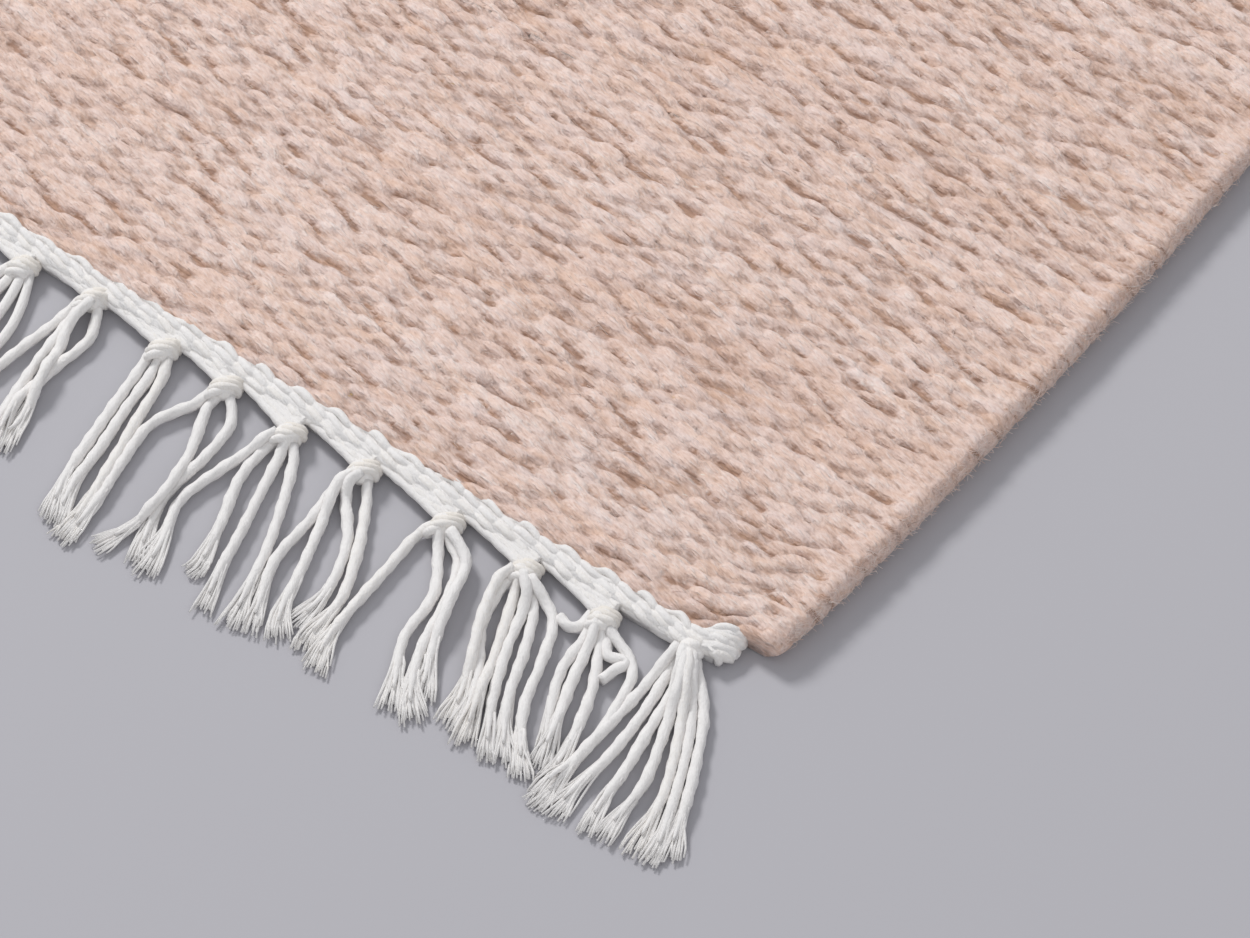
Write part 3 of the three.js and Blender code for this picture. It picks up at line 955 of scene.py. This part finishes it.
def knot_mesh(group, sides, bands, turn):
    """An overhand knot: a round lump with the slanting wraps of its bundle."""
    lat = np.linspace(-math.pi / 2, math.pi / 2, bands + 1)[1:-1, None]
    lon = (np.arange(sides) / sides * 2 * math.pi)[None, :]
    wraps = 1 + LUMP["groove"] * np.cos(LUMP["grooves"] * lon + 3.2 * lat + turn) * np.cos(lat)
    half_x, half_y, half_z = LUMP["half"]
    x = wraps * np.cos(lat) * np.cos(lon) * half_x
    z = wraps * np.cos(lat) * np.sin(lon) * half_z
    y = np.sin(lat) * half_y + 0 * lon
    body = np.stack([x, y, z], -1).reshape(-1, 3)
    points = np.concatenate([body, [[0, -half_y, 0], [0, half_y, 0]]])
    points += (group["x"], group["y"], LUMP["middle"])
    grid = np.arange((bands - 1) * sides).reshape(bands - 1, sides)
    near, far = grid[:-1], grid[1:]
    a, b = near.reshape(-1), np.roll(near, -1, axis=1).reshape(-1)
    c, d = np.roll(far, -1, axis=1).reshape(-1), far.reshape(-1)
    low = np.full(sides, len(body))
    faces = np.concatenate([
        np.stack([a, d, b], -1), np.stack([b, d, c], -1),
        np.stack([grid[0], np.roll(grid[0], -1), low], -1),
        np.stack([np.roll(grid[-1], -1), grid[-1], low + 1], -1),
    ])
    return points, faces


def knot_wrap(bundle, group, turn, sides, steps):
    """The turns of the bundle round its own neck, which lie side by side and slantwise on the lump."""
    angle = np.linspace(KNOT["from"], KNOT["to"], steps)
    lean = KNOT["lean"] + KNOT["lean_varies"] * math.sin(turn)
    for k in range(KNOT["turns"]):
        beside = (k / (KNOT["turns"] - 1) * 2 - 1) * KNOT["half_length"]
        round_off = math.sqrt(1 - (beside / (KNOT["half_length"] + KNOT["yarn"])) ** 2)
        wobble = KNOT["wobble"] * math.sin(turn * 3 + 2 * k)
        x = group["x"] + wobble + KNOT["half_width"] * round_off * np.cos(angle)
        y = group["y"] + beside + lean * (1.5 * np.cos(angle) + 0.3 * np.sin(2 * angle + k))
        z = KNOT["middle"] + KNOT["height"] * round_off * np.sin(angle) + 0.3 * wobble
        radii = KNOT["yarn"] * (1 + KNOT["swell"] * np.sin(angle * 3 + turn + k))
        bundle.add(*yarn_mesh(np.stack([x, y, z], -1), radii, sides), 0.58 + 0.09 * k)


# The warps between heading and knot lie side by side, all at one shallow slope
GATHER = {
    "first": 9 * MM,
    "spacing": 2.1 * MM,
    "packed": 0.45,
    "least_slope": 0.2,
    "under": 0.8 * MM,
    "radius": 1.05 * MM,
    "swell": 0.08,
    "height": 2.6 * MM,
    "climb": 0.6 * MM,
    "bow": 0.35 * MM,
    "wave": 0.12 * MM,
    "into_knot": 0.6 * MM,
    "beyond": 0.8 * MM,
}


def gathered_warps(bundle, groups, sides, steps):
    """The warps leave the heading one by one and slope along its edge into the knot on their right."""
    ordered = sorted(groups, key=lambda g: g["x"])
    left = -HALF_WIDTH + GATHER["first"]
    for group in ordered:
        gap = group["x"] - left
        root = heading_edge(np.array(left)) + GATHER["under"]
        slope = (root - group["y"] - 0.4 * MM) / gap
        step = GATHER["spacing"] / max(slope, GATHER["least_slope"]) * GATHER["packed"]
        starts = np.arange(left, group["x"] - 0.5 * MM, step)
        for k, start in enumerate(starts):
            share = (start - left) / gap
            x = np.linspace(start, group["x"] + GATHER["into_knot"], steps)
            t = np.linspace(0, 1, steps)
            y = heading_edge(np.array(start)) + GATHER["under"] - slope * (x - start)
            y = y + GATHER["bow"] * (1 - share) * np.sin(math.pi * t)
            waves = GATHER["wave"] * np.sin(x / MM * 1.1 + k * 2)
            z = GATHER["height"] + GATHER["climb"] * share + waves
            radii = GATHER["radius"] * (1 + GATHER["swell"] * np.sin(x / MM * 1.3 + k * 2))
            tone = 0.55 + 0.06 * math.sin(k * 2.1)
            bundle.add(*yarn_mesh(np.stack([x, y, z], -1), radii, sides), tone)
        left = group["x"] + GATHER["beyond"]


def fringe(name, shown, turned=False):
    """The whole fringe of one end, with the photographed corner's own strands where they show."""
    bundle = Bundle()
    groups = knot_groups()
    if shown:
        for group, pixel in zip(groups, SHOWN_KNOTS):
            group["y"] = on_photo(pixel, KNOT_MIDDLE).y
    end = SHOWN_END if shown else HIDDEN_END
    gathered_warps(bundle, groups, *end["gather"])
    for group in groups:
        number = group["number"]
        fine = shown and number < len(SHOWN_STRANDS)
        kind = SHOWN_STRAND if fine else PLAIN_STRAND
        if fine:
            seen = SHOWN_STRANDS[number]
            places = np.linspace(-0.5, 0.5, len(seen))
            routes = [shown_route(group, pixels, place) for pixels, place in zip(seen, places)]
        else:
            places = np.arange(group["strands"]) / (group["strands"] - 1) - 0.5
            routes = [plain_route(group, place) for place in places]
        turn = chance(number + 7) * 6
        bundle.add(*knot_mesh(group, *end["knot"], turn), 0.6)
        if number > 0:
            knot_wrap(bundle, group, turn, *end["wrap"])
        order = np.argsort([chance(number * 11 + k) for k in range(len(routes))])
        for path in lie_over([smooth_path(routes[k], kind["steps"]) for k in order]):
            tone = 0.48 + RNG.uniform(-0.14, 0.14)
            strand(bundle, path, kind["sides"], kind["plies"], tone)
            frayed_end(bundle, path, *kind["brush"], tone)
    if shown:
        for curl in CURLS:
            route = [on_photo(pixel, CURL_MIDDLE) for pixel in curl]
            path = smooth_path(route, CURL["steps"])
            twist = (CURL["plies"], CURL["twist"], CURL["depth"])
            bundle.add(*yarn_mesh(path, YARN_RADIUS, CURL["sides"], *twist), 0.5)
    return bundle.piece(name, turned)


# Materials

class Finish:
    """A node material with its shader, and short calls to add nodes to it."""

    def __init__(self, name):
        self.material = bpy.data.materials.new(name)
        self.material.use_nodes = True
        self.tree = self.material.node_tree
        self.shader = self.tree.nodes["Principled BSDF"]
        self.place = self.node("ShaderNodeTexCoord").outputs["Object"]

    def node(self, kind, **values):
        made = self.tree.nodes.new(kind)
        for key, value in values.items():
            setattr(made, key, value)
        return made

    def link(self, source, target):
        self.tree.links.new(source, target)

    def attribute(self, name):
        return self.node("ShaderNodeAttribute", attribute_name=name).outputs["Fac"]

    def noise(self, length, width, turn=0, detail=2, rough=0.5, seed=0):
        """Noise whose streaks are this long and this wide, turned from the weft's direction."""
        mapping = self.node("ShaderNodeMapping", vector_type="TEXTURE")
        mapping.inputs["Rotation"].default_value = (0, 0, turn)
        mapping.inputs["Scale"].default_value = (length, width, width)
        self.link(self.place, mapping.inputs["Vector"])
        noise = self.node("ShaderNodeTexNoise", noise_dimensions="4D")
        noise.inputs["W"].default_value = seed
        noise.inputs["Scale"].default_value = 1
        noise.inputs["Detail"].default_value = detail
        noise.inputs["Roughness"].default_value = rough
        self.link(mapping.outputs["Vector"], noise.inputs["Vector"])
        return noise.outputs["Fac"]

    def ramp(self, source, stops):
        ramp = self.node("ShaderNodeValToRGB")
        while len(ramp.color_ramp.elements) < len(stops):
            ramp.color_ramp.elements.new(0.5)
        for element, (at, colour) in zip(ramp.color_ramp.elements, stops):
            element.position = at
            element.color = (*colour, 1)
        self.link(source, ramp.inputs["Fac"])
        return ramp.outputs["Color"]

    def math(self, operation, a, b, clamp=False):
        made = self.node("ShaderNodeMath", operation=operation, use_clamp=clamp)
        for socket, value in zip(made.inputs, (a, b)):
            if isinstance(value, (int, float)):
                socket.default_value = value
            else:
                self.link(value, socket)
        return made.outputs["Value"]

    def mixed(self, a, b, share):
        made = self.node("ShaderNodeMix", data_type="RGBA")
        for socket, value in ((made.inputs[0], share), (made.inputs[6], a), (made.inputs[7], b)):
            if isinstance(value, (int, float)):
                socket.default_value = value
            elif isinstance(value, tuple):
                socket.default_value = (*value, 1)
            else:
                self.link(value, socket)
        return made.outputs[2]

    def bump(self, height, strength, distance):
        bump = self.node("ShaderNodeBump")
        bump.inputs["Strength"].default_value = strength
        bump.inputs["Distance"].default_value = distance
        self.link(height, bump.inputs["Height"])
        self.link(bump.outputs["Normal"], self.shader.inputs["Normal"])


# How long and how wide the streaks of the wool are: its fibres, locks of fleece, changes of colour
# and odd fibres
FIBRE = (1.9 * MM, 0.42 * MM)
LOCK = (3.3 * MM, 0.9 * MM)
HUE = (15 * MM, 2.4 * MM)
FLECK = (3.4 * MM, 0.75 * MM)
WOOL_SLANT = math.radians(-17)
FLECK_SLANT = math.radians(16)

# The shades of the fleece, from dark to light, the painted shade of the creases between the knobs and of
# small pits among the locks, and the warmer and cooler shades that the fleece takes on here and there
WOOL_SHADES = [
    (0.12, (0.48, 0.295, 0.215)),
    (0.40, (0.735, 0.513, 0.418)),
    (0.62, (0.865, 0.662, 0.578)),
    (0.9, (0.93, 0.81, 0.755)),
]
# Painted shade, for the creases between the knobs and for the small pits among the locks
CREASE_PAINTED_SHADE = (0.30, 0.165, 0.11)
PIT_PAINTED_SHADE = (0.25, 0.15, 0.11)
WARM_SHADE = (0.80, 0.512, 0.352)
COOL_SHADE = (0.82, 0.683, 0.655)

# Odd fibres in the wool: how rare each kind is, and its colour
FLECKS = [
    (0.76, (0.62, 0.40, 0.14)),
    (0.74, (0.30, 0.13, 0.09)),
    (0.73, (0.90, 0.84, 0.76)),
]


def heathered_wool():
    """Beige wool spun from light and dark fleece: streaks along the twist, a few flecks, a painted
    highlight on the raised locks and painted shade in its creases and small pits.
    """
    finish = Finish("heathered_beige_wool")
    fibre = finish.noise(*FIBRE, WOOL_SLANT, 3, 0.65)
    lock = finish.noise(*LOCK, WOOL_SLANT, 1.5, 0.5, seed=3)
    apart = finish.math("ABSOLUTE", finish.math("SUBTRACT", lock, 0.5), 0)
    split = finish.math("MULTIPLY", apart, 6.0, clamp=True)
    crease = finish.attribute("crease")
    # Where the painted pit shade goes: where the locks lie low, more so in the creases
    shade = finish.math("SUBTRACT", finish.math("ADD", finish.math("MULTIPLY", crease, 0.2), 0.38), lock)
    pit_shade_mask = finish.math("MULTIPLY", shade, 7.0, clamp=True)
    # Painted highlight: the raised locks, which the bump lifts, are made lighter as well
    lock_height_and_highlight = finish.math("MULTIPLY", finish.math("SUBTRACT", lock, 0.25), 2.0, clamp=True)
    tone = finish.math("ADD", finish.attribute("tone"), finish.math("MULTIPLY", lock_height_and_highlight, 0.26))
    tone = finish.math("ADD", tone, finish.math("MULTIPLY", fibre, 0.85))
    tone = finish.math("SUBTRACT", tone, 0.475, clamp=True)
    colour = finish.ramp(tone, WOOL_SHADES)
    # Painted shade: darker in the creases between the knobs, and darker still in the small pits
    colour = finish.mixed(colour, CREASE_PAINTED_SHADE, finish.math("MULTIPLY", crease, 0.28))
    colour = finish.mixed(colour, PIT_PAINTED_SHADE, finish.math("MULTIPLY", pit_shade_mask, 0.32))
    hue = finish.noise(*HUE, 0, 3, 0.6, seed=9)
    warm = finish.math("MULTIPLY", finish.math("SUBTRACT", hue, 0.51), 7.0, clamp=True)
    cool = finish.math("MULTIPLY", finish.math("SUBTRACT", 0.48, hue), 7.0, clamp=True)
    colour = finish.mixed(colour, WARM_SHADE, finish.math("MULTIPLY", warm, 0.33))
    colour = finish.mixed(colour, COOL_SHADE, finish.math("MULTIPLY", cool, 0.36))
    for seed, (at, fleck) in enumerate(FLECKS):
        spot = finish.noise(*FLECK, FLECK_SLANT, 1, 0.5, seed=20 + seed)
        share = finish.math("MULTIPLY", finish.math("SUBTRACT", spot, at), 12.0, clamp=True)
        colour = finish.mixed(colour, fleck, finish.math("MULTIPLY", share, 0.75))
    finish.link(colour, finish.shader.inputs["Base Color"])
    finish.shader.inputs["Roughness"].default_value = 0.95
    finish.shader.inputs["Sheen Weight"].default_value = 0.25
    finish.shader.inputs["Sheen Roughness"].default_value = 0.5
    finish.shader.inputs["Specular IOR Level"].default_value = 0.2
    relief = finish.math("ADD", finish.math("MULTIPLY", lock_height_and_highlight, 1.2), fibre)
    relief = finish.math("ADD", relief, finish.math("MULTIPLY", split, 0.12))
    finish.bump(relief, 0.95, 0.5 * MM)
    return finish.material


COTTON_FIBRE = (1.1 * MM, 0.42 * MM)
COTTON_SLANT = math.radians(-35)
COTTON_SHADES = [
    (0.3, (0.80, 0.775, 0.755)),
    (0.75, (0.865, 0.84, 0.82)),
    (1.0, (0.83, 0.78, 0.715)),
]


def white_cotton():
    """Soft white cotton, greyer in some yarns and yellower in others."""
    finish = Finish("white_cotton_yarn")
    fibre = finish.noise(*COTTON_FIBRE, COTTON_SLANT, 3, 0.65)
    tone = finish.math("ADD", finish.attribute("tone"), finish.math("MULTIPLY", fibre, 0.4))
    colour = finish.ramp(tone, COTTON_SHADES)
    finish.link(colour, finish.shader.inputs["Base Color"])
    finish.shader.inputs["Roughness"].default_value = 0.85
    finish.shader.inputs["Sheen Weight"].default_value = 0.15
    finish.shader.inputs["Specular IOR Level"].default_value = 0.25
    finish.bump(fibre, 0.85, 0.4 * MM)
    return finish.material


def pale_floor():
    finish = Finish("pale_floor")
    finish.shader.inputs["Base Color"].default_value = (0.44, 0.43, 0.455, 1)
    finish.shader.inputs["Roughness"].default_value = 0.8
    return finish.material


# Camera, light and floor

def camera():
    data = bpy.data.cameras.new("camera")
    data.lens = LENS
    data.sensor_width = SENSOR
    data.clip_start = 0.01
    made = bpy.data.objects.new("camera", data)
    bpy.context.scene.collection.objects.link(made)
    look = camera_look()
    made.location = Vector(AIM) - look * CAMERA_DISTANCE
    made.rotation_euler = look.to_track_quat("-Z", "Y").to_euler()
    bpy.context.scene.camera = made


def softbox(name, place, size, power):
    """A round white light that faces the middle of the rug."""
    data = bpy.data.lights.new(name, "AREA")
    data.shape = "DISK"
    data.size = size
    data.energy = power
    made = bpy.data.objects.new(name, data)
    bpy.context.scene.collection.objects.link(made)
    made.location = place
    made.rotation_euler = (-Vector(place)).to_track_quat("-Z", "Y").to_euler()


def studio():
    bpy.ops.mesh.primitive_plane_add(size=8, location=(0, 0, -0.3 * MM))
    floor = bpy.context.object
    floor.name = "floor"
    floor.data.materials.append(pale_floor())
    softbox("key", (-1.9, 0.45, 1.9), 0.75, 61)
    softbox("fill", (1.8, -1.6, 1.8), 2.2, 14)
    world = bpy.data.worlds.new("studio_air")
    bpy.context.scene.world = world
    world.use_nodes = True
    world.node_tree.nodes["Background"].inputs["Color"].default_value = (0.93, 0.95, 1.0, 1)
    world.node_tree.nodes["Background"].inputs["Strength"].default_value = 0.5
    bpy.context.scene.view_settings.view_transform = "Standard"


def dress(piece, material, nodes):
    piece.data.materials.append(material)
    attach(piece, BODY)
    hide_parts(*nodes)


camera()
studio()

wool = heathered_wool()
cotton = white_cotton()
woven_pieces = wool_pieces()
fuzz = wool_fuzz()
for piece in [*(piece for piece, _ in woven_pieces), fuzz]:
    dress(piece, wool, ["wool_field"])

headings = {
    "heading_near": heading("cotton_heading_near", 6, 8),
    "heading_far": heading("cotton_heading_far", 4, 6, turned=True),
}
for node, piece in headings.items():
    dress(piece, cotton, [node])

fringes = {
    "fringe_near": fringe("cotton_fringe_near", True),
    "fringe_far": fringe("cotton_fringe_far", False, turned=True),
}
for node, piece in fringes.items():
    dress(piece, cotton, [node])
